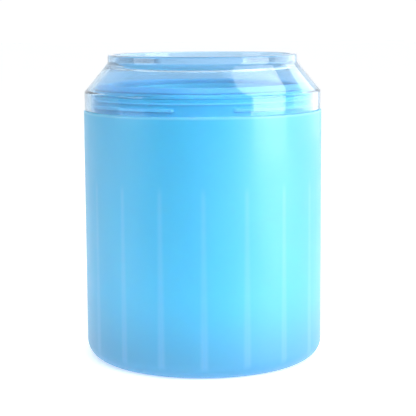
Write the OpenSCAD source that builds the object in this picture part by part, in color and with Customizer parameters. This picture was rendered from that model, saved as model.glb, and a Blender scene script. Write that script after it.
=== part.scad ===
// Paw washer cup: a cup of water with a soft brush sleeve hung inside its mouth.
// A clear collar with a narrow neck holds the sleeve and its sealing ring down.
// Millimetres, +Z up, standing on Z = 0, axis on X = Y = 0, front towards -Y.

/* [Overall] */
// Outer diameter of the cup
cup_d = 90; // [89:0.5:94]
// Height of the seam between the cup and the collar
seam_z = 94.3; // [93.5:0.1:95]
// Height of the collar's rim
rim_z = 115.1; // [114.5:0.1:120]

/* [Cup] */
// Thickness of the side wall
cup_wall = 2; // [1.2:0.1:4]
// Outside radius of the corner around the foot
foot_round = 10.8; // [6:0.1:12]
// Height of the inside of the floor
floor_z = 3.4; // [2:0.1:8]
// Depth of the recess under the base
foot_recess = 1.2; // [0.5:0.1:1.8]
// Inside radius of the corner around the floor
floor_round = 8.5; // [5:0.5:10]
// Round on the edge at the seam
seam_round = 0.5; // [0.2:0.1:1]

/* [Inside ribs] */
// Number of upright ribs on the inside of the wall
rib_count = 18; // [6:1:36]
// Width of a rib at its foot
rib_foot_w = 2.7; // [1:0.1:5]
// Width of a rib at its top
rib_top_w = 1.7; // [0.6:0.1:4]
// Height where the ribs fade into the wall
rib_top_z = 70; // [40:1:85]
// How far a rib stands in from the wall
rib_depth = 1.1; // [0.4:0.1:2.5]

/* [Cup neck] */
// Outer radius of the cup's neck
neck_r = 41; // [40.6:0.1:41.2]
// Height of the cup's mouth
mouth_z = 100.3; // [99.8:0.1:100.6]
// Inner radius of the cup's mouth
mouth_r = 39; // [38.8:0.1:39.6]
// Height of the ring bead around the neck
bead_z = 98.7; // [98:0.1:99.4]
// How far the ring bead stands out
bead_out = 0.45; // [0.2:0.05:0.6]
// Outer radius of the locking threads
thread_r = 42.05; // [41.4:0.05:42.2]
// Height of the underside of the threads
thread_z = 95.8; // [95.3:0.1:96.3]
// Height of one thread
thread_h = 1.5; // [0.8:0.1:2]
// Angle one thread runs around the neck
thread_turn = 61; // [30:1:68]
// Angle from the front to the start of the first thread
thread_start = 15; // [0:1:89]

/* [Collar] */
// Outer radius of the collar's band
band_r = 44.7; // [44.4:0.1:45.5]
// Inner radius of the collar's band
band_in_r = 42.35; // [42.3:0.05:42.7]
// Height where the band turns into the shoulder
band_top_z = 101.3; // [101:0.1:102.5]
// Outer radius of the collar's neck
rim_r = 35.8; // [35.4:0.1:36.6]
// Height where the shoulder meets the neck
shoulder_top_z = 112.1; // [111.4:0.1:112.6]
// Thickness of the shoulder
shoulder_wall = 2; // [1.6:0.1:2.2]
// Inner radius of the collar's neck
entry_r = 33.2; // [31:0.1:33.4]
// Height of the lower end of the neck's straight inner wall
lip_z = 109.2; // [107:0.1:109.8]
// How far the blends above and below the shoulder reach from its corners
blend = 0.7; // [0.2:0.1:1.2]
// Round on the rim
rim_round = 0.9; // [0.3:0.1:0.9]
// Angle one locking lug of the collar covers
lug_turn = 20; // [8:1:24]

/* [Brush sleeve] */
// Thickness of the silicone
sleeve_wall = 1.6; // [1:0.1:3]
// Outer radius of the sleeve under its flange
sleeve_top_r = 38.4; // [37.4:0.1:38.4]
// Outer radius of the sleeve at its lower end
sleeve_foot_r = 37; // [35:0.1:38]
// Height of the sleeve's lower end
sleeve_foot_z = 12; // [8:0.5:14]
// Thickness of the flange that hangs on the mouth
flange_h = 1; // [0.6:0.1:1.2]

/* [Bristles] */
// Rows of bristles, one above the other
bristle_rows = 8; // [3:1:14]
// Bristles in one row
bristle_count = 20; // [8:1:36]
// Distance of the bristle tips from the axis
tip_r = 22; // [12:0.5:30]
// Radius of a bristle at its foot
bristle_r = 1.5; // [0.8:0.1:2.5]
// Height of the lowest row
bristle_low_z = 20; // [19:1:40]
// Height of the highest row
bristle_high_z = 74; // [60:1:92]

/* [Sealing ring] */
// Height of the ring's top edge
seal_top_z = 103.8; // [103.1:0.1:105]
// Inner radius of the ring
seal_in_r = 37.6; // [35.5:0.1:38.2]

/* [Show] */
// Sub-part to build

/* [Hidden] */
$fn = 96;
cup_r = cup_d / 2;
inner_r = cup_r - cup_wall;
// Gap between silicone and its neighbours, and between the two hard parts
soft_gap = 0.3;
hard_gap = 0.15;
// Run and rise of the shoulder, and how far its inside lies from its outside
run = band_r - rim_r;
rise = shoulder_top_z - band_top_z;
slant = sqrt(run * run + rise * rise);
inset = shoulder_wall * slant / rise;
thread_count = 4;
// Flat ring the cup stands on, and the slope from it up into the recess
stand_w = 2.6;
stand_slope = 1.8;
recess_r = cup_r - foot_round - stand_w - stand_slope;
// Round on the mouth's outer edge
mouth_round = 0.3;
// How far below the seam the wall starts and stops thickening into the neck
thicken_start = 6;
thicken_end = 2.2;
// How deep a rib is rooted in the wall, and how far below its top it starts to fade
rib_root = 0.6;
rib_fade = 12;
thread_step = 360 / thread_count;
// Where the collar's lugs stand when they line up with the gaps in the threads
lug_mid = thread_start + thread_turn - 90 + (thread_step - thread_turn) / 2;
flange_z = mouth_z + soft_gap;
seal_z = flange_z + flange_h + soft_gap;

// Inside radius of the shoulder at a height
function shoulder_in_r(z) = band_r - inset - (z - band_top_z) * run / rise;
// Height at which the shoulder's inside has a radius
function shoulder_in_z(r) = band_top_z + (band_r - inset - r) * rise / run;
// Outer radius of the sleeve at a height
function sleeve_r(z) = sleeve_foot_r
    + (sleeve_top_r - sleeve_foot_r) * (z - sleeve_foot_z) / (flange_z - sleeve_foot_z);
// Height of a row of bristles
function row_z(row) = bristle_low_z + row * (bristle_high_z - bristle_low_z) / (bristle_rows - 1);

// A disc's half section with a round lower corner
module dish_2d(r, low, high, corner) {
    translate([0, low]) square([r - corner, corner + 0.01]);
    translate([r - corner, low + corner]) circle(r = corner);
    translate([0, low + corner]) square([r, high - low - corner]);
}

// The same with a small round on its upper corner
module edged_2d(r, low, high, corner, edge) {
    dish_2d(r, low, high - edge, corner);
    translate([r - edge, high - edge]) circle(r = edge);
    translate([0, high - edge - 0.01]) square([r - edge, edge + 0.01]);
}

// Right half of the plane, so a section never crosses the axis
module keep_right_2d() {
    intersection() {
        children();
        translate([0, -10]) square([200, 400]);
    }
}

// Section of the cup: wall, floor, recessed base and neck
module cup_2d() {
    difference() {
        union() {
            edged_2d(cup_r, 0, seam_z, foot_round, seam_round);
            translate([0, seam_z - 1]) square([neck_r, mouth_z - mouth_round - seam_z + 1]);
            translate([0, mouth_z - mouth_round - 0.01])
                square([neck_r - mouth_round, mouth_round + 0.01]);
            translate([neck_r - mouth_round, mouth_z - mouth_round]) circle(r = mouth_round);
            translate([neck_r, bead_z]) circle(r = bead_out);
        }
        dish_2d(inner_r, floor_z, seam_z - thicken_start, floor_round);
        polygon([
            [0, seam_z - thicken_start - 0.01],
            [inner_r, seam_z - thicken_start - 0.01],
            [mouth_r, seam_z - thicken_end],
            [mouth_r, mouth_z + 1],
            [0, mouth_z + 1]
        ]);
        polygon([
            [-1, -1],
            [recess_r + stand_slope, -1],
            [recess_r + stand_slope, 0],
            [recess_r, foot_recess],
            [-1, foot_recess]
        ]);
    }
}

// One rib seen from inside: wide at its foot, narrow at its top
module rib_face_2d() {
    polygon([
        [-rib_foot_w / 2, floor_z - 1],
        [rib_foot_w / 2, floor_z - 1],
        [rib_top_w / 2, rib_top_z],
        [-rib_top_w / 2, rib_top_z]
    ]);
}

// Point on a rib's inner edge where it sweeps round the corner of the floor
function rib_foot(turn) = [
    inner_r - floor_round + (floor_round - rib_depth) * sin(turn),
    floor_z + floor_round - (floor_round - rib_depth) * cos(turn)
];

// Ribs inside the wall, cut from a shallow ring that follows the wall and the floor's corner
module ribs() {
    intersection() {
        union() {
            for (i = [0 : rib_count - 1]) {
                rotate([0, 0, i * 360 / rib_count - 90])
                    translate([inner_r - 8, 0, 0])
                        rotate([90, 0, 90])
                            linear_extrude(height = 9) rib_face_2d();
            }
        }
        rotate_extrude() {
            polygon(concat(
                [
                    [inner_r + rib_root, foot_round - 4.4],
                    [inner_r - 3, floor_z + 0.2],
                    [inner_r - floor_round, floor_z - 1.4]
                ],
                [for (turn = [15 : 25 : 90]) rib_foot(turn)],
                [
                    [inner_r - rib_depth * 0.8, rib_top_z - rib_fade],
                    [inner_r + 0.1, rib_top_z],
                    [inner_r + rib_root, rib_top_z]
                ]
            ));
        }
    }
}

// One locking thread, running to the right of its starting angle
module thread() {
    rotate_extrude(angle = thread_turn) {
        polygon([
            [neck_r - 0.4, thread_z - 0.1],
            [neck_r + 0.2, thread_z],
            [thread_r, thread_z + 0.25],
            [thread_r, thread_z + thread_h - 0.35],
            [neck_r + 0.2, thread_z + thread_h],
            [neck_r - 0.4, thread_z + thread_h + 0.1]
        ]);
    }
}

// Translucent cup with its ribs, neck, ring bead and threads
module cup_body() {
    color([0.35, 0.75, 0.96, 0.9]) union() {
        rotate_extrude() keep_right_2d() cup_2d();
        ribs();
        for (i = [0 : thread_count - 1]) {
            rotate([0, 0, thread_start - 90 + i * thread_step]) thread();
        }
    }
}

// Section of the collar: band, shoulder and neck, with a solid wedge behind the neck's foot
module collar_2d() {
    difference() {
        union() {
            polygon([
                [band_in_r - 8, seam_z + hard_gap],
                [band_r - 0.3, seam_z + hard_gap],
                [band_r, seam_z + hard_gap + 0.3],
                [band_r, band_top_z - blend],
                [band_r - blend * run / slant, band_top_z + blend * rise / slant],
                [rim_r + blend * run / slant, shoulder_top_z - blend * rise / slant],
                [rim_r, shoulder_top_z + blend],
                [rim_r, rim_z - rim_round],
                [entry_r, rim_z - rim_round],
                [entry_r, seam_z + hard_gap]
            ]);
            translate([rim_r - rim_round, rim_z - rim_round]) circle(r = rim_round);
            translate([entry_r + rim_round, rim_z - rim_round]) circle(r = rim_round);
            translate([entry_r + rim_round, rim_z - rim_round - 0.01])
                square([rim_r - entry_r - 2 * rim_round, rim_round + 0.01]);
        }
        polygon([
            [entry_r - 1, seam_z],
            [band_in_r, seam_z],
            [band_in_r, shoulder_in_z(band_in_r)],
            [shoulder_in_r(lip_z), lip_z],
            [entry_r - 1, lip_z]
        ]);
    }
}

// One lug that hooks under a thread when the collar is turned shut
module lug() {
    rotate_extrude(angle = lug_turn) {
        polygon([
            [thread_r - 0.45, seam_z + 0.5],
            [band_in_r + 0.6, seam_z + 0.35],
            [band_in_r + 0.6, thread_z - 0.1],
            [thread_r - 0.45, thread_z - 0.25]
        ]);
    }
}

// Clear collar
module collar() {
    color([0.85, 0.9, 1, 0.45]) union() {
        rotate_extrude() collar_2d();
        for (i = [0 : thread_count - 1]) {
            rotate([0, 0, lug_mid - lug_turn / 2 + i * thread_step]) lug();
        }
    }
}

// Silicone sleeve that hangs by its flange on the cup's mouth
module brush_sleeve() {
    color([0.3, 0.72, 0.98]) rotate_extrude() {
        difference() {
            union() {
                polygon([
                    [sleeve_foot_r - sleeve_wall, sleeve_foot_z],
                    [sleeve_foot_r, sleeve_foot_z],
                    [sleeve_top_r, flange_z],
                    [neck_r - 0.2, flange_z],
                    [neck_r - 0.2, flange_z + flange_h - 0.2],
                    [neck_r - 0.4, flange_z + flange_h],
                    [sleeve_top_r - sleeve_wall, flange_z + flange_h]
                ]);
                translate([sleeve_foot_r - sleeve_wall / 2, sleeve_foot_z])
                    circle(r = sleeve_wall * 0.62);
            }
            translate([0, sleeve_foot_z - 5]) square([sleeve_foot_r - sleeve_wall * 1.3, 5]);
        }
    }
}

// One bristle pointing at the axis, with a blunted tip
module bristle(base_r) {
    translate([base_r, 0, 0]) rotate([0, -90, 0]) {
        cylinder(r1 = bristle_r, r2 = bristle_r * 0.6, h = base_r - tip_r - 0.7);
        translate([0, 0, base_r - tip_r - 0.71])
            cylinder(r1 = bristle_r * 0.6, r2 = bristle_r * 0.25, h = 0.71);
    }
}

// Backing skin inside the sleeve with all its bristles
module bristles() {
    color([0.42, 0.8, 1]) union() {
        rotate_extrude() {
            polygon([
                [sleeve_r(bristle_low_z - 5) - sleeve_wall - 0.8, bristle_low_z - 5],
                [sleeve_r(bristle_low_z - 5) - sleeve_wall, bristle_low_z - 5],
                [sleeve_r(bristle_high_z + 4) - sleeve_wall, bristle_high_z + 4],
                [sleeve_r(bristle_high_z + 4) - sleeve_wall - 0.8, bristle_high_z + 4]
            ]);
        }
        for (row = [0 : bristle_rows - 1], i = [0 : bristle_count - 1]) {
            rotate([0, 0, (i + (row % 2) / 2) * 360 / bristle_count])
                translate([0, 0, row_z(row)])
                    bristle(sleeve_r(row_z(row)) - sleeve_wall - 0.4);
        }
    }
}

// Soft wedge-shaped ring pressed between the flange and the shoulder
module seal_ring() {
    color([0.45, 0.82, 1]) rotate_extrude() {
        polygon([
            [seal_in_r, seal_z],
            [shoulder_in_r(seal_z) - 0.9, seal_z],
            [shoulder_in_r(seal_z + 0.6) - 0.4, seal_z + 0.6],
            [shoulder_in_r(seal_top_z - 0.4) - 0.4, seal_top_z - 0.4],
            [shoulder_in_r(seal_top_z) - 0.7, seal_top_z],
            [seal_in_r + 0.6, seal_top_z],
            [seal_in_r, seal_top_z - 0.6]
        ]);
    }
}

cup_body();
brush_sleeve();
bristles();
seal_ring();
collar();
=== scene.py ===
import math
import random

import bmesh
import bpy
from mathutils import Matrix, Vector


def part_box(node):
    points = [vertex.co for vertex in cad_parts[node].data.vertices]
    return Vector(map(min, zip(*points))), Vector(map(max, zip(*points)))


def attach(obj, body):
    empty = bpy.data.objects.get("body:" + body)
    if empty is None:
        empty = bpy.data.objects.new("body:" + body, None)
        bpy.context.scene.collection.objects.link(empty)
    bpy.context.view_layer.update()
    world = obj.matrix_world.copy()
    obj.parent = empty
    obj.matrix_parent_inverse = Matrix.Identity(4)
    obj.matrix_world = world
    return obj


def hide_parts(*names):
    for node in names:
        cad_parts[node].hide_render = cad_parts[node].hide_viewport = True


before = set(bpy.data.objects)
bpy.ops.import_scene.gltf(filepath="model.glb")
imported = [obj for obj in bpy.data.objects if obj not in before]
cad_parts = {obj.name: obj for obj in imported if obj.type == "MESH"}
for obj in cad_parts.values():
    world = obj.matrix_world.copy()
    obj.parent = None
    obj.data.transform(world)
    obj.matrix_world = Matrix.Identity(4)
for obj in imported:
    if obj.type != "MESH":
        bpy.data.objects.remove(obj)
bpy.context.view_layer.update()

MM = 0.001
FRONT = -math.pi / 2
STEPS = 360
random.seed(7)

# ---------------------------------------------------------------- sizes
# Outer sizes come from the frame. What a box can't say, such as a wall or a round, is named here.
_, cup_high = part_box("cup_body")
collar_low, collar_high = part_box("collar")
seal_low, seal_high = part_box("seal_ring")
sleeve_low, sleeve_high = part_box("brush_sleeve")
bristle_low, bristle_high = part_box("bristles")

CUP_R = cup_high.x
CUP_WALL = 2.0 * MM
INNER_R = CUP_R - CUP_WALL
FOOT_ROUND = 10.8 * MM
FLOOR_Z = 3.4 * MM
FLOOR_ROUND = 8.5 * MM
FOOT_RECESS = 1.2 * MM
# How far in from the foot's round the standing ring ends and the recess is flat
STAND_IN = 2.6 * MM
RECESS_IN = 4.4 * MM
MOUTH_Z = cup_high.z
SEAM_GAP = 0.15 * MM
SEAM_Z = collar_low.z - SEAM_GAP
# How far below the seam the wall starts and stops thickening into the neck
THICKEN_LOW = 6.0 * MM
THICKEN_HIGH = 2.2 * MM
NECK_R = CUP_R - 4.0 * MM
MOUTH_R = NECK_R - 2.0 * MM
BEAD_Z = SEAM_Z + 4.4 * MM
BEAD_OUT = 0.45 * MM
THREAD_Z = SEAM_Z + 1.5 * MM
THREAD_H = 1.5 * MM
THREAD_OUT = 1.05 * MM
THREAD_START = math.radians(15)
THREAD_TURN = math.radians(61)
THREADS = 4
# Turn, in radians, over which a thread or a lug ends: inside and outside its nominal end
END_IN = 0.012
END_OUT = 0.004

RIBS = 18
RIB_STEP = 2 * math.pi / RIBS
RIB_FOOT_W = 2.7 * MM
RIB_TOP_W = 1.7 * MM
RIB_FOOT_Z = 4.0 * MM
RIB_TOP_Z = 70.0 * MM
RIB_DEPTH = 1.1 * MM
# The ribs fade out towards the middle of the cup's floor and over the top fifth of their height
RIB_FADE_R = 30 * MM
RIB_FADE_UP = 0.8

RIM_Z = collar_high.z
BAND_R = collar_high.x
BAND_IN_R = BAND_R - 2.35 * MM
BAND_TOP_Z = SEAM_Z + 7.0 * MM
SHOULDER_TOP_Z = RIM_Z - 3.0 * MM
SHOULDER_WALL = 2.0 * MM
RIM_R = BAND_R - 8.9 * MM
ENTRY_R = RIM_R - 2.6 * MM
LIP_Z = RIM_Z - 5.9 * MM
LUG_TURN = math.radians(20)
LUG_IN = 0.75 * MM
RUN = BAND_R - RIM_R
RISE = SHOULDER_TOP_Z - BAND_TOP_Z
INSET = SHOULDER_WALL * math.hypot(RUN, RISE) / RISE

SLEEVE_WALL = 1.6 * MM
SLEEVE_FOOT_R = 37.0 * MM
SLEEVE_TOP_R = 38.4 * MM
SLEEVE_FOOT_Z = sleeve_low.z + 1.0 * MM
FLANGE_R = sleeve_high.x
FLANGE_H = 1.0 * MM
FLANGE_Z = sleeve_high.z - FLANGE_H

BRISTLE_ROWS = 8
BRISTLES = 20
BRISTLE_R = 1.5 * MM
TIP_R = 22.0 * MM
BRISTLE_EDGE_LOW = 5.0 * MM
BRISTLE_EDGE_HIGH = 4.0 * MM
SKIN = 0.8 * MM

SEAL_IN_R = 37.6 * MM
# How far the soft flange and ring sink towards what they lie on
SQUEEZE = 0.25 * MM


def shoulder_in_r(z):
    """Inside radius of the collar's shoulder at a height."""
    return BAND_R - INSET - (z - BAND_TOP_Z) * RUN / RISE


def shoulder_in_z(r):
    """Height at which the inside of the shoulder has a radius."""
    return BAND_TOP_Z + (BAND_R - INSET - r) * RISE / RUN


def sleeve_r(z):
    """Outer radius of the sleeve at a height."""
    share = (z - SLEEVE_FOOT_Z) / (FLANGE_Z - SLEEVE_FOOT_Z)
    return SLEEVE_FOOT_R + (SLEEVE_TOP_R - SLEEVE_FOOT_R) * share


# ---------------------------------------------------------------- colours, linear
# Painted shade for the floor in front of the object
FLOOR_PAINTED_SHADE = (0.62, 0.63, 0.64)
FLOOR_WHITE = (0.93, 0.94, 0.95)
CUP_BLUE_A = (0.042, 0.48, 0.83)
CUP_BLUE_B = (0.056, 0.52, 0.87)
# Painted shade towards the cup's foot
FOOT_PAINTED_SHADE_BLUE = (0.04, 0.29, 0.54)
RIB_SIDE_BLUE = (0.45, 0.70, 0.98)
RIB_CORE_BLUE = (0.02, 0.38, 0.78)
# Painted highlight along the seam edge
SEAM_PAINTED_HIGHLIGHT = (0.36, 0.74, 0.96)
# Painted shade on the neck inside the collar
NECK_PAINTED_SHADE = (0.007, 0.48, 0.68)
# Painted highlight on the thread and bead crests
CREST_PAINTED_HIGHLIGHT = (0.28, 0.72, 0.95)
COLLAR_BLUE = (0.52, 0.73, 0.90)
COLLAR_SHADOW = (0.95, 0.985, 1.0)
SEAL_BLUE = (0.13, 0.42, 0.66)
SLEEVE_BLUE = (0.10, 0.52, 0.72)
BRISTLE_BLUE = (0.12, 0.50, 0.74)


# ---------------------------------------------------------------- camera, floor and light
CAMERA_BACK = 0.500
CAMERA_HEIGHT = 0.12955
CAMERA_DOWN = math.radians(7.0)
CAMERA_ROLL = math.radians(-0.425)
CAMERA_LENS = 113.88
SHIFT_X = 0.0118
SHIFT_Y = -0.0746


def make_camera():
    """Camera a little above the rim, tipped down a little."""
    data = bpy.data.cameras.new("camera")
    data.lens = CAMERA_LENS
    data.sensor_width = 36.0
    data.shift_x = SHIFT_X
    data.shift_y = SHIFT_Y
    data.clip_start = 0.01
    camera = bpy.data.objects.new("camera", data)
    bpy.context.scene.collection.objects.link(camera)
    turn = Matrix.Rotation(math.pi / 2 - CAMERA_DOWN, 4, "X") @ Matrix.Rotation(CAMERA_ROLL, 4, "Z")
    camera.matrix_world = Matrix.Translation((0, -CAMERA_BACK, CAMERA_HEIGHT)) @ turn
    bpy.context.scene.camera = camera


def make_floor():
    """Plain floor that glows white under and behind the object, with painted shade: grey further in
    front of it.
    """
    mesh = bpy.data.meshes.new("floor")
    half = 6.0
    corners = [(-half, -half, 0), (half, -half, 0), (half, half, 0), (-half, half, 0)]
    mesh.from_pydata(corners, [], [(0, 1, 2, 3)])
    floor = bpy.data.objects.new("floor", mesh)
    bpy.context.scene.collection.objects.link(floor)
    n = Nodes("floor_glow_and_painted_shade")
    painted_shade_y, glow_y = -0.17, -0.09
    # Painted shade in front: grey with no glow beyond 17 cm in front of the centre, white and glowing
    # from 9 cm in front on.
    shade = n.ease(n.place()[2], painted_shade_y, glow_y)
    n.feed(n.shader.inputs["Base Color"], n.mix(shade, FLOOR_PAINTED_SHADE, FLOOR_WHITE))
    n.set(Roughness=0.7, Specular_IOR_Level=0.1, Emission_Color=(1, 1, 1, 1))
    n.feed(n.shader.inputs["Emission Strength"], n.math("MULTIPLY", shade, 0.52))
    mesh.materials.append(n.material)


def softbox(name, azimuth, elevation, distance, width, height, power, lights=True, shines=True):
    """Area light aimed at the middle of the cup. Azimuth 0 is in front, 90 to the right."""
    data = bpy.data.lights.new(name, "AREA")
    data.shape = "RECTANGLE"
    data.size = width
    data.size_y = height
    data.energy = power
    light = bpy.data.objects.new(name, data)
    light.visible_diffuse = lights
    light.visible_glossy = shines
    bpy.context.scene.collection.objects.link(light)
    a, e = math.radians(azimuth), math.radians(elevation)
    aim = Vector((0, 0, 0.06))
    out = Vector((math.sin(a) * math.cos(e), -math.cos(a) * math.cos(e), math.sin(e)))
    light.location = aim + out * distance
    light.rotation_euler = out.to_track_quat("Z", "Y").to_euler()


def make_world():
    """White room behind the object, dim behind the camera."""
    world = bpy.data.worlds.new("studio")
    bpy.context.scene.world = world
    world.use_nodes = True
    nt = world.node_tree
    nt.nodes.clear()
    out = nt.nodes.new("ShaderNodeOutputWorld")
    back = nt.nodes.new("ShaderNodeBackground")
    where = nt.nodes.new("ShaderNodeTexCoord")
    split = nt.nodes.new("ShaderNodeSeparateXYZ")
    ramp = nt.nodes.new("ShaderNodeValToRGB")
    shift = nt.nodes.new("ShaderNodeMapRange")
    nt.links.new(where.outputs["Generated"], split.inputs[0])
    nt.links.new(split.outputs["Y"], shift.inputs["Value"])
    shift.inputs["From Min"].default_value = -1
    nt.links.new(shift.outputs["Result"], ramp.inputs["Fac"])
    stops = ((0.0, 0.09), (0.22, 0.13), (0.42, 0.26), (0.62, 0.58), (0.80, 1.05))
    ramp.color_ramp.interpolation = "EASE"
    for k, (at, level) in enumerate(stops):
        stop = ramp.color_ramp.elements[k] if k < 2 else ramp.color_ramp.elements.new(at)
        stop.position = at
        stop.color = (level * 0.97, level * 0.985, level, 1)
    nt.links.new(ramp.outputs["Color"], back.inputs["Color"])
    nt.links.new(back.outputs[0], out.inputs[0])


def make_lights():
    """Large soft windows. The first four only make highlights, the last two make none."""
    softbox("key_shine", 66, 12, 0.75, 0.50, 0.54, 4.8, lights=False)
    softbox("back_shine", 122, 12, 0.85, 0.85, 0.60, 2.6, lights=False)
    softbox("high_shine", 99, 61, 0.80, 0.38, 0.50, 2.3, lights=False)
    softbox("side_shine", -73, 16, 0.80, 0.44, 0.42, 1.6, lights=False)
    softbox("front_fill", 12, 36, 0.90, 0.70, 0.45, 5.6, shines=False)
    softbox("right_fill", 66, 20, 0.90, 0.60, 0.50, 3.6, shines=False)


# ---------------------------------------------------------------- mesh helpers
def rounded(corners, closed=True, parts=6):
    """Outline through corners (r, z, round), with an arc at each corner that has a round."""
    line = []
    count = len(corners)
    for i, (r, z, size) in enumerate(corners):
        here = Vector((r, z))
        if size <= 0 or (not closed and i in (0, count - 1)):
            line.append(here)
            continue
        to_last = Vector(corners[i - 1][:2]) - here
        to_next = Vector(corners[(i + 1) % count][:2]) - here
        reach = min(to_last.length, to_next.length) * 0.49
        to_last.normalize()
        to_next.normalize()
        half = to_last.angle(to_next) / 2
        if half > math.radians(89):
            line.append(here)
            continue
        cut = min(size / math.tan(half), reach)
        size = cut * math.tan(half)
        middle = here + (to_last + to_next).normalized() * (size / math.sin(half))
        start = here + to_last * cut - middle
        end = here + to_next * cut - middle
        sweep = start.angle_signed(end)
        for k in range(parts + 1):
            a = -sweep * k / parts
            line.append(middle + Matrix.Rotation(a, 2) @ start)
    return line


def refined(line, longest, closed=True):
    """The same outline with no stretch longer than the given length."""
    out = []
    count = len(line)
    for i in range(count if closed else count - 1):
        a, b = line[i], line[(i + 1) % count]
        cuts = max(1, math.ceil((b - a).length / longest((a + b) / 2)))
        out += [a.lerp(b, k / cuts) for k in range(cuts)]
    if not closed:
        out.append(line[-1])
    return out


def lathe(name, line, closed=True, shape=None, steps=STEPS, sharp=32):
    """Turned mesh from an outline of (r, z) points; shape(r, z, angle) may move a point in or out."""
    bm = bmesh.new()
    rings = []
    for p in line:
        if p.x < 1e-7:
            rings.append([bm.verts.new((0, 0, p.y))])
            continue
        ring = []
        for k in range(steps):
            a = 2 * math.pi * k / steps
            r = shape(p.x, p.y, a) if shape else p.x
            ring.append(bm.verts.new((r * math.cos(a), r * math.sin(a), p.y)))
        rings.append(ring)
    pairs = list(zip(rings, rings[1:])) + ([(rings[-1], rings[0])] if closed else [])
    for low, high in pairs:
        for k in range(steps):
            n = (k + 1) % steps
            if len(low) == 1:
                bm.faces.new((low[0], high[n], high[k]))
            elif len(high) == 1:
                bm.faces.new((low[k], low[n], high[0]))
            else:
                bm.faces.new((low[k], low[n], high[n], high[k]))
    bmesh.ops.recalc_face_normals(bm, faces=bm.faces)
    return finished(name, bm, sharp)


def finished(name, bm, sharp=32):
    """Object from a bmesh, smooth except across edges sharper than the given angle."""
    mesh = bpy.data.meshes.new(name)
    bm.to_mesh(mesh)
    bm.free()
    mesh.shade_smooth()
    mesh.set_sharp_from_angle(angle=math.radians(sharp))
    piece = bpy.data.objects.new(name, mesh)
    bpy.context.scene.collection.objects.link(piece)
    return piece


def smooth(low, high, value):
    """0 below low, 1 above high, eased between."""
    t = min(1.0, max(0.0, (value - low) / (high - low)))
    return t * t * (3 - 2 * t)


# ---------------------------------------------------------------- cup
def cup_shape(r, z, a):
    """Ribs on the inside of the wall and threads round the neck."""
    if r < INNER_R + 0.3 * MM and RIB_FOOT_Z - 1 * MM < z < RIB_TOP_Z:
        off = abs((a - FRONT + RIB_STEP / 2) % RIB_STEP - RIB_STEP / 2) * INNER_R
        up = (z - RIB_FOOT_Z) / (RIB_TOP_Z - RIB_FOOT_Z)
        half = (RIB_FOOT_W + (RIB_TOP_W - RIB_FOOT_W) * up) / 2
        edge = 1 - smooth(half - 0.5 * MM, half + 0.4 * MM, off)
        fade = 1 - smooth(RIB_FADE_UP, 1.0, up)
        return r - RIB_DEPTH * edge * fade * smooth(0, RIB_FADE_R, r)
    if r > NECK_R - 0.3 * MM and SEAM_Z < z < MOUTH_Z:
        middle = THREAD_START + THREAD_TURN / 2 + FRONT
        pitch = 2 * math.pi / THREADS
        off = abs((a - middle + pitch / 2) % pitch - pitch / 2)
        ends = 1 - smooth(THREAD_TURN / 2 - END_IN, THREAD_TURN / 2 + END_OUT, off)
        crest = smooth(0, 0.3 * MM, z - THREAD_Z) * (1 - smooth(-0.35 * MM, 0, z - THREAD_Z - THREAD_H))
        return r + THREAD_OUT * ends * crest
    return r


def cup_outline():
    foot = CUP_R - FOOT_ROUND
    bead_half = 0.5 * MM
    line = rounded(
        [
            (0, FOOT_RECESS, 0),
            (foot - RECESS_IN, FOOT_RECESS, 0.6 * MM),
            (foot - STAND_IN, 0, 0.5 * MM),
            (CUP_R, 0, FOOT_ROUND),
            (CUP_R, SEAM_Z, 0.5 * MM),
            (NECK_R, SEAM_Z, 0.3 * MM),
            (NECK_R, BEAD_Z - bead_half, 0.12 * MM),
            (NECK_R + BEAD_OUT, BEAD_Z - bead_half / 2, 0.25 * MM),
            (NECK_R + BEAD_OUT, BEAD_Z + bead_half / 2, 0.25 * MM),
            (NECK_R, BEAD_Z + bead_half, 0.12 * MM),
            (NECK_R, MOUTH_Z, 0.5 * MM),
            (MOUTH_R, MOUTH_Z, 0.5 * MM),
            (MOUTH_R, SEAM_Z - THICKEN_HIGH, 1.5 * MM),
            (INNER_R, SEAM_Z - THICKEN_LOW, 2.0 * MM),
            (INNER_R, FLOOR_Z, FLOOR_ROUND),
            (0, FLOOR_Z, 0),
        ],
        closed=False,
        parts=8,
    )

    def longest(p):
        near_thread = p.x > NECK_R - MM and SEAM_Z < p.y < SEAM_Z + 3.5 * MM and p.x < NECK_R + MM
        return 0.15 * MM if near_thread else 4.0 * MM

    return refined(line, longest, closed=False)


def make_cup():
    cup = lathe("cup_shell", cup_outline(), closed=False, shape=cup_shape)
    cup.data.materials.append(cup_plastic())
    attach(cup, "cup")
    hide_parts("cup_body")


# ---------------------------------------------------------------- collar
def collar_shape(r, z, a):
    """Lugs on the inside of the band, standing in the gaps between the threads."""
    if r < BAND_IN_R + 0.2 * MM and r > BAND_IN_R - 0.2 * MM and z < THREAD_Z:
        pitch = 2 * math.pi / THREADS
        middle = THREAD_START + THREAD_TURN + (pitch - THREAD_TURN) / 2 + FRONT
        off = abs((a - middle + pitch / 2) % pitch - pitch / 2)
        ends = 1 - smooth(LUG_TURN / 2 - END_IN, LUG_TURN / 2 + END_OUT, off)
        low, high = SEAM_Z + 0.4 * MM, THREAD_Z - 0.15 * MM
        crest = smooth(0, 0.25 * MM, z - low) * (1 - smooth(-0.25 * MM, 0, z - high))
        return r - LUG_IN * ends * crest
    return r


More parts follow.
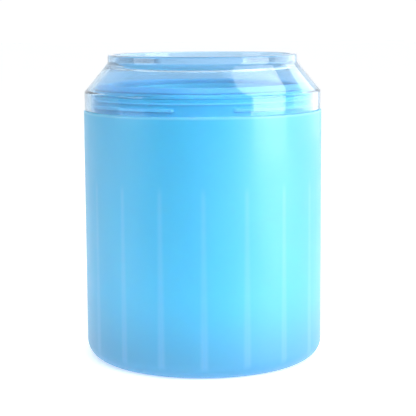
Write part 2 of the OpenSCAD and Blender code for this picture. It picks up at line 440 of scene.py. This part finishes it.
def collar_outline():
    low = collar_low.z
    line = rounded(
        [
            (BAND_R, low, 0.35 * MM),
            (BAND_R, BAND_TOP_Z, 1.2 * MM),
            (RIM_R, SHOULDER_TOP_Z, 2.0 * MM),
            (RIM_R, RIM_Z, 0.7 * MM),
            (ENTRY_R, RIM_Z, 0.7 * MM),
            (ENTRY_R, LIP_Z, 0.4 * MM),
            (shoulder_in_r(LIP_Z), LIP_Z, 0.3 * MM),
            (BAND_IN_R, shoulder_in_z(BAND_IN_R), 0.6 * MM),
            (BAND_IN_R, low, 0.25 * MM),
        ],
        parts=8,
    )

    def longest(p):
        near_lug = p.x < BAND_IN_R + 0.2 * MM and p.y < THREAD_Z + 0.3 * MM
        return 0.12 * MM if near_lug else 4.0 * MM

    return refined(line, longest)


def make_collar():
    collar = lathe("clear_collar", collar_outline(), shape=collar_shape)
    collar.data.materials.append(clear_plastic())
    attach(collar, "collar")
    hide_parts("collar")


# ---------------------------------------------------------------- sealing ring
def make_seal():
    low, high = seal_low.z - SQUEEZE, seal_high.z
    gap = 0.4 * MM
    bevel = 0.6 * MM
    edge = 0.3 * MM
    line = rounded(
        [
            (SEAL_IN_R, low, edge),
            (shoulder_in_r(low) - 0.9 * MM, low, edge),
            (shoulder_in_r(low + bevel) - gap, low + bevel, edge),
            (shoulder_in_r(high - gap) - gap, high - gap, edge),
            (shoulder_in_r(high) - 0.7 * MM, high, edge),
            (SEAL_IN_R + bevel, high, edge),
            (SEAL_IN_R, high - bevel, edge),
        ],
        parts=4,
    )
    seal = lathe("sealing_ring", line)
    seal.data.materials.append(silicone("seal_silicone", SEAL_BLUE, 0.42))
    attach(seal, "seal")
    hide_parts("seal_ring")


# ---------------------------------------------------------------- brush sleeve
def make_sleeve():
    foot_in = SLEEVE_FOOT_R - SLEEVE_WALL
    top = FLANGE_Z + FLANGE_H
    bead = 0.45 * MM
    bead_top = sleeve_low.z + 2 * MM
    bead_end = sleeve_low.z + 3 * MM
    line = rounded(
        [
            (foot_in - bead, sleeve_low.z, 0.6 * MM),
            (SLEEVE_FOOT_R + bead, sleeve_low.z, 0.6 * MM),
            (SLEEVE_FOOT_R + bead, bead_top, 0.6 * MM),
            (SLEEVE_FOOT_R + 0.02 * MM, bead_end, 0.6 * MM),
            (SLEEVE_TOP_R, FLANGE_Z - SQUEEZE, 0.5 * MM),
            (FLANGE_R, FLANGE_Z - SQUEEZE, 0.3 * MM),
            (FLANGE_R, top, 0.4 * MM),
            (SLEEVE_TOP_R - SLEEVE_WALL, top, 0.7 * MM),
            (foot_in + 0.02 * MM, bead_end, 0.6 * MM),
            (foot_in - bead, bead_top, 0.6 * MM),
        ],
        parts=5,
    )
    sleeve = lathe("silicone_sleeve", refined(line, lambda p: 6 * MM))
    sleeve.data.materials.append(silicone("sleeve_silicone", SLEEVE_BLUE, 0.42))
    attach(sleeve, "liner")
    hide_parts("brush_sleeve")


def add_bristle(bm, place, length, sides=12):
    """One tapering pin along +X of place, with a round tip."""
    tip = 0.62 * BRISTLE_R
    rings = [(0.0, 1.35), (0.03, 1.08), (0.08, 1.0), (0.35, 0.88), (0.7, 0.73)]
    rings = [(t * length, s * BRISTLE_R) for t, s in rings]
    for k in range(5):
        a = math.pi / 2 * k / 4
        rings.append((length - tip * (1 - math.sin(a)), max(tip * math.cos(a), 0)))
    last = None
    for along, r in rings:
        if r < 1e-6:
            ring = [bm.verts.new(place @ Vector((along, 0, 0)))]
        else:
            angles = [2 * math.pi * k / sides for k in range(sides)]
            ring = [
                bm.verts.new(place @ Vector((along, r * math.cos(a), r * math.sin(a))))
                for a in angles
            ]
        if last:
            for k in range(sides):
                n = (k + 1) % sides
                if len(ring) == 1:
                    bm.faces.new((last[k], last[n], ring[0]))
                else:
                    bm.faces.new((last[k], last[n], ring[n], ring[k]))
        last = ring


def make_bristles():
    """Rows of soft pins on a thin skin that lines the sleeve."""
    low = bristle_low.z
    high = bristle_high.z
    skin = rounded(
        [
            (sleeve_r(low) - SLEEVE_WALL - SKIN, low, 0.35 * MM),
            (sleeve_r(low) - SLEEVE_WALL + 0.1 * MM, low, 0),
            (sleeve_r(high) - SLEEVE_WALL + 0.1 * MM, high, 0),
            (sleeve_r(high) - SLEEVE_WALL - SKIN, high, 0.35 * MM),
        ],
        parts=4,
    )
    bristles = lathe("bristle_skin", skin, steps=180)
    bm = bmesh.new()
    bm.from_mesh(bristles.data)
    first, last = low + BRISTLE_EDGE_LOW, high - BRISTLE_EDGE_HIGH
    for row in range(BRISTLE_ROWS):
        z = first + (last - first) * row / (BRISTLE_ROWS - 1)
        foot = sleeve_r(z) - SLEEVE_WALL - SKIN / 2
        for i in range(BRISTLES):
            a = (i + (row % 2) / 2) * 2 * math.pi / BRISTLES
            droop = math.radians(random.uniform(0.5, 2.5))
            sway = math.radians(random.uniform(-1.2, 1.2))
            place = (
                Matrix.Rotation(a, 4, "Z")
                @ Matrix.Translation((foot, 0, z))
                @ Matrix.Rotation(math.pi + sway, 4, "Z")
                @ Matrix.Rotation(droop, 4, "Y")
            )
            add_bristle(bm, place, foot - TIP_R)
    bm.normal_update()
    bm.to_mesh(bristles.data)
    bm.free()
    bristles.data.shade_smooth()
    bristles.data.set_sharp_from_angle(angle=math.radians(40))
    bristles.name = "soft_bristles"
    bristles.data.materials.append(silicone("bristle_silicone", BRISTLE_BLUE, 0.40))
    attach(bristles, "liner")
    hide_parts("bristles")


# ---------------------------------------------------------------- materials
class Nodes:
    """Short ways to make and join shader nodes in one material."""

    def __init__(self, name):
        self.material = bpy.data.materials.new(name)
        self.material.use_nodes = True
        self.tree = self.material.node_tree
        self.shader = self.tree.nodes["Principled BSDF"]

    def set(self, **values):
        for key, value in values.items():
            self.shader.inputs[key.replace("_", " ")].default_value = value

    def feed(self, socket, source):
        if isinstance(source, (int, float)):
            socket.default_value = source
        else:
            self.tree.links.new(source, socket)

    def math(self, operation, a, b=0.0, c=0.0):
        node = self.tree.nodes.new("ShaderNodeMath")
        node.operation = operation
        for socket, source in zip(node.inputs, (a, b, c)):
            self.feed(socket, source)
        return node.outputs[0]

    def place(self):
        """Position on the object, split into x, y and z in metres."""
        where = self.tree.nodes.new("ShaderNodeTexCoord").outputs["Object"]
        split = self.tree.nodes.new("ShaderNodeSeparateXYZ")
        self.tree.links.new(where, split.inputs[0])
        return where, split.outputs[0], split.outputs[1], split.outputs[2]

    def ease(self, value, low, high, to_low=0.0, to_high=1.0):
        node = self.tree.nodes.new("ShaderNodeMapRange")
        node.interpolation_type = "SMOOTHSTEP"
        self.feed(node.inputs["Value"], value)
        self.feed(node.inputs["From Min"], low)
        self.feed(node.inputs["From Max"], high)
        node.inputs["To Min"].default_value = to_low
        node.inputs["To Max"].default_value = to_high
        return node.outputs["Result"]

    def noise(self, where, scale, detail=3.0, stretch=None):
        if stretch:
            mapping = self.tree.nodes.new("ShaderNodeMapping")
            mapping.inputs["Scale"].default_value = stretch
            self.tree.links.new(where, mapping.inputs["Vector"])
            where = mapping.outputs[0]
        node = self.tree.nodes.new("ShaderNodeTexNoise")
        node.inputs["Scale"].default_value = scale
        node.inputs["Detail"].default_value = detail
        self.tree.links.new(where, node.inputs["Vector"])
        return node.outputs["Fac"]

    def mix(self, share, a, b):
        node = self.tree.nodes.new("ShaderNodeMix")
        node.data_type = "RGBA"
        self.feed(node.inputs["Factor"], share)
        for socket, source in ((node.inputs["A"], a), (node.inputs["B"], b)):
            if isinstance(source, tuple):
                socket.default_value = (*source, 1)
            else:
                self.tree.links.new(source, socket)
        return node.outputs["Result"]

    def bump(self, height, depth, strength=1.0):
        node = self.tree.nodes.new("ShaderNodeBump")
        node.inputs["Distance"].default_value = depth
        node.inputs["Strength"].default_value = strength
        self.tree.links.new(height, node.inputs["Height"])
        self.tree.links.new(node.outputs[0], self.shader.inputs["Normal"])

    def let_lamps_through(self, tint):
        """Lamps shine through this clear wall instead of being shut out by it."""
        path = self.tree.nodes.new("ShaderNodeLightPath")
        open_way = self.tree.nodes.new("ShaderNodeBsdfTransparent")
        open_way.inputs["Color"].default_value = (*tint, 1)
        mix = self.tree.nodes.new("ShaderNodeMixShader")
        out = self.tree.nodes["Material Output"]
        self.tree.links.new(path.outputs["Is Shadow Ray"], mix.inputs[0])
        self.tree.links.new(self.shader.outputs[0], mix.inputs[1])
        self.tree.links.new(open_way.outputs[0], mix.inputs[2])
        self.tree.links.new(mix.outputs[0], out.inputs["Surface"])


def rib_mask(n, x, y, z):
    """1 over the ribs behind the wall, soft at their edges, 0 between them."""
    turn = n.math("ARCTAN2", x, n.math("MULTIPLY", y, -1.0))
    part = n.math("WRAP", turn, RIB_STEP / 2, -RIB_STEP / 2)
    off = n.math("MULTIPLY", n.math("ABSOLUTE", part), CUP_R)
    half = n.ease(z, RIB_FOOT_Z, RIB_TOP_Z, RIB_FOOT_W / 2, RIB_TOP_W / 2)
    edge = n.ease(n.math("SUBTRACT", off, half), -0.9 * MM, 0.7 * MM, 1.0, 0.0)
    high = n.ease(z, RIB_TOP_Z - 4 * MM, RIB_TOP_Z + 1 * MM, 1.0, 0.0)
    low = n.ease(z, RIB_FOOT_Z - 1 * MM, RIB_FOOT_Z + 2 * MM)
    core = n.ease(off, 0.1 * MM, 0.7 * MM, 1.0, 0.0)
    fade = n.math("MULTIPLY", high, low)
    return n.math("MULTIPLY", edge, fade), n.math("MULTIPLY", core, fade)


def cup_plastic():
    """Milky blue polypropylene, satin outside, with ribs showing, painted shade towards the foot and on
    the neck, and painted highlights along the seam edge and on the thread crests.
    """
    n = Nodes("cup_plastic")
    where, x, y, z = n.place()
    ribs, core = rib_mask(n, x, y, z)
    cloud = n.noise(where, 28, 4, (1, 1, 0.5))
    blue = n.mix(n.ease(cloud, 0.3, 0.7), CUP_BLUE_A, CUP_BLUE_B)
    # Painted shade: darker blue towards the foot, strongest at the floor and gone by 32 mm up.
    foot = n.ease(z, 0.0, 32 * MM, 0.85, 0.0)
    blue = n.mix(foot, blue, FOOT_PAINTED_SHADE_BLUE)
    blue = n.mix(n.math("MULTIPLY", ribs, 0.12), blue, RIB_SIDE_BLUE)
    dark = n.math("MULTIPLY", core, n.ease(z, 6 * MM, 40 * MM, 0.10, 0.0))
    blue = n.mix(dark, blue, RIB_CORE_BLUE)
    # Painted highlight: a pale band just below the seam, standing in for light on the rounded top edge
    # of the wall.
    edge = n.ease(z, SEAM_Z - 1.1 * MM, SEAM_Z - 0.5 * MM, 0.0, 0.3)
    blue = n.mix(edge, blue, SEAM_PAINTED_HIGHLIGHT)
    # Painted shade: above the seam the neck, inside the collar, is a darker, deeper blue than the same
    # plastic below.
    neck = n.ease(z, SEAM_Z - 0.2 * MM, SEAM_Z + 0.4 * MM)
    blue = n.mix(neck, blue, NECK_PAINTED_SHADE)
    # Painted highlight: the crests of the bead and the threads are paler, as if catching the light.
    out = n.math("SQRT", n.math("ADD", n.math("MULTIPLY", x, x), n.math("MULTIPLY", y, y)))
    crest = n.ease(out, NECK_R + 0.15 * MM, NECK_R + 0.4 * MM, 0.0, 0.5)
    crest_highlight = n.math("MULTIPLY", crest, n.ease(z, SEAM_Z + 0.6 * MM, SEAM_Z + 1.0 * MM))
    blue = n.mix(crest_highlight, blue, CREST_PAINTED_HIGHLIGHT)
    n.feed(n.shader.inputs["Base Color"], blue)
    n.set(IOR=1.75, Coat_Weight=0.2, Coat_Roughness=0.08)
    n.set(Subsurface_Weight=0.25, Subsurface_Scale=0.004)
    n.feed(n.shader.inputs["Roughness"], n.ease(n.noise(where, 60, 5), 0.3, 0.7, 0.42, 0.48))
    n.bump(n.noise(where, 220, 3, (1, 1, 0.25)), 0.00002)
    return n.material


def clear_plastic():
    """Clear plastic with a light blue cast, a little milky towards the top of its neck."""
    n = Nodes("collar_clear")
    where, _, _, z = n.place()
    n.set(IOR=1.48)
    clear = n.ease(z, SHOULDER_TOP_Z - 4 * MM, SHOULDER_TOP_Z, 0.96, 0.82)
    n.feed(n.shader.inputs["Transmission Weight"], clear)
    n.shader.inputs["Base Color"].default_value = (*COLLAR_BLUE, 1)
    n.feed(n.shader.inputs["Roughness"], n.ease(n.noise(where, 90, 5), 0.35, 0.75, 0.04, 0.08))
    n.bump(n.noise(where, 130, 2, (1, 1, 0.4)), 0.00001)
    n.let_lamps_through(COLLAR_SHADOW)
    return n.material


def silicone(name, colour, roughness):
    """Soft satin silicone with a fine skin, slightly paler in patches."""
    n = Nodes(name)
    where = n.place()[0]
    cloud = n.ease(n.noise(where, 45, 4), 0.3, 0.7)
    pale = tuple(min(1.0, c * 1.12 + 0.03) for c in colour)
    n.feed(n.shader.inputs["Base Color"], n.mix(cloud, colour, pale))
    n.set(IOR=1.41, Subsurface_Weight=0.3, Subsurface_Scale=0.003)
    satin = n.ease(n.noise(where, 150, 4), 0.3, 0.7, roughness - 0.05, roughness + 0.08)
    n.feed(n.shader.inputs["Roughness"], satin)
    n.bump(n.noise(where, 600, 4), 0.00003)
    return n.material


# ---------------------------------------------------------------- making
bpy.context.scene.view_settings.view_transform = "Standard"
make_camera()
make_floor()
make_world()
make_lights()
make_cup()
make_sleeve()
make_bristles()
make_seal()
make_collar()
